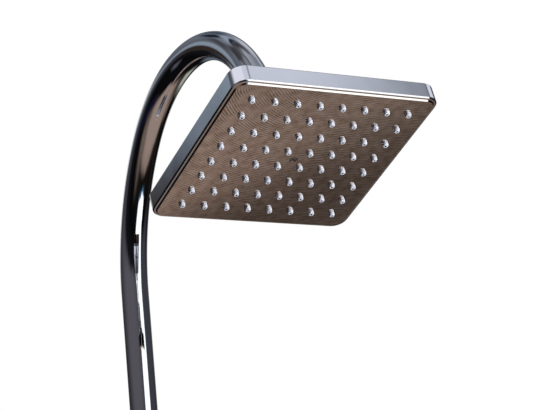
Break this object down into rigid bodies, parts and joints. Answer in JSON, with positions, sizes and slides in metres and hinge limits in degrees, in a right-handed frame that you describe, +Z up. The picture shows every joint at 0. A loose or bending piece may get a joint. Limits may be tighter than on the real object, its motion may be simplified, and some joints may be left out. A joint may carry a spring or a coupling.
{
  "type": "solar outdoor shower",
  "caption": "Outdoor shower with a tall square solar storage column, swivelling bent chrome neck, square rain head on a ball joint, lever mixer and foot tap.",
  "frame": {"origin": "centre of the base plate's underside, on the column's axis", "axes": "+Z up along the column, -Y towards the user, under the shower head, +X to the right of the neck seen from the rear"},
  "size_m": [0.22, 0.4772, 2.1781],
  "materials": {
    "tank_black": "satin black",
    "base_black": "powder coated",
    "chrome": "polished",
    "face_steel": "polished, faintly waved",
    "nozzle_silicone": "milky silicone",
    "seal_black": "matt",
    "brass": "machined",
    "steel": "machined",
    "plastic_white": "smooth",
    "plastic_grey": "moulded",
    "cap_grey": "smooth",
    "pipe_blue": "smooth",
    "pipe_red": "smooth"
  },
  "bodies": {
    "column": {"tank_lower": "tank_black", "tank_upper": "tank_black", "seam_band": "tank_black", "base_plate": "base_black", "top_cap": "chrome", "neck_nut": "chrome", "mixer_plate": "chrome", "mixer_collar": "chrome", "tap_body": "chrome", "tap_rosette": "chrome", "tap_bonnet": "chrome", "inlet_fitting": "chrome", "seam_seal": "seal_black", "neck_gasket": "seal_black", "neck_seals": "seal_black", "mixer_gasket": "seal_black", "cold_gland": "seal_black", "wall_seals": "seal_black", "drain_seal": "seal_black", "neck_socket": "brass", "neck_locknut": "brass", "mixer_body": "brass", "mixer_locknut": "brass", "mixer_nipples": "brass", "cartridge_nut": "brass", "manifold": "brass", "wall_locknuts": "brass", "check_body": "brass", "feed_nut": "brass", "base_screws": "steel", "check_spring": "steel", "cartridge": "plastic_white", "mixed_pipe": "plastic_white", "hose_adapter": "plastic_grey", "drain_plug": "plastic_grey", "cold_pipe": "pipe_blue", "hot_pipe": "pipe_red"},
    "neck": {"neck_pipe": "chrome", "neck_collar": "chrome", "neck_bush": "brass"},
    "ball": {"ball_stud": "chrome", "filter_screen": "plastic_white"},
    "socket": {"ball_nut": "chrome", "ball_ring": "plastic_white", "ball_seat": "plastic_white", "ball_seal": "seal_black"},
    "head": {"head_shell": "chrome", "face_plate": "face_steel", "nozzle_mat": "nozzle_silicone", "centre_screw": "steel"},
    "mixer_disc": {"cartridge_disc": "plastic_white"},
    "lever": {"lever_stem": "steel", "mixer_lever": "chrome", "lever_screw": "steel", "lever_cap": "cap_grey"},
    "foot_valve": {"tap_spindle": "brass", "tap_handle": "chrome", "tap_screw": "steel"},
    "poppet": {"check_poppet": "plastic_white"}
  },
  "joints": [
    {"name": "neck_swivel", "type": "hinge", "parent": "column", "child": "neck", "pos_m": [0, 0, 1.71], "axis": [0, 0, 1], "range_deg": [-90, 90]},
    {"name": "ball_turn", "type": "hinge", "parent": "neck", "child": "ball", "pos_m": [0, -0.26643, 2.06092], "axis": [0, 0.5793, 0.8151], "continuous": true},
    {"name": "ball_tilt", "type": "hinge", "parent": "ball", "child": "socket", "pos_m": [0, -0.26643, 2.06092], "axis": [1, 0, 0], "range_deg": [-42.3, 5.5]},
    {"name": "head_spin", "type": "hinge", "parent": "socket", "child": "head", "pos_m": [0, -0.26643, 2.06092], "axis": [0, 0.2924, 0.9563], "continuous": true},
    {"name": "mixer_turn", "type": "hinge", "parent": "column", "child": "mixer_disc", "pos_m": [0, -0.104, 1.1], "axis": [0, -1, 0], "range_deg": [-45, 45]},
    {"name": "mixer_lift", "type": "hinge", "parent": "mixer_disc", "child": "lever", "pos_m": [0, -0.104, 1.1], "axis": [-1, 0, 0], "range_deg": [0, 25]},
    {"name": "foot_tap_turn", "type": "hinge", "parent": "column", "child": "foot_valve", "pos_m": [0, -0.134, 0.15], "axis": [0, -1, 0], "range_deg": [0, 90]},
    {"name": "poppet_lift", "type": "slide", "parent": "column", "child": "poppet", "axis": [0, 0, 1], "range_m": [0, 0.004], "stiffness_N_per_m": 200, "deforming": ["check_spring"]}
  ]
}
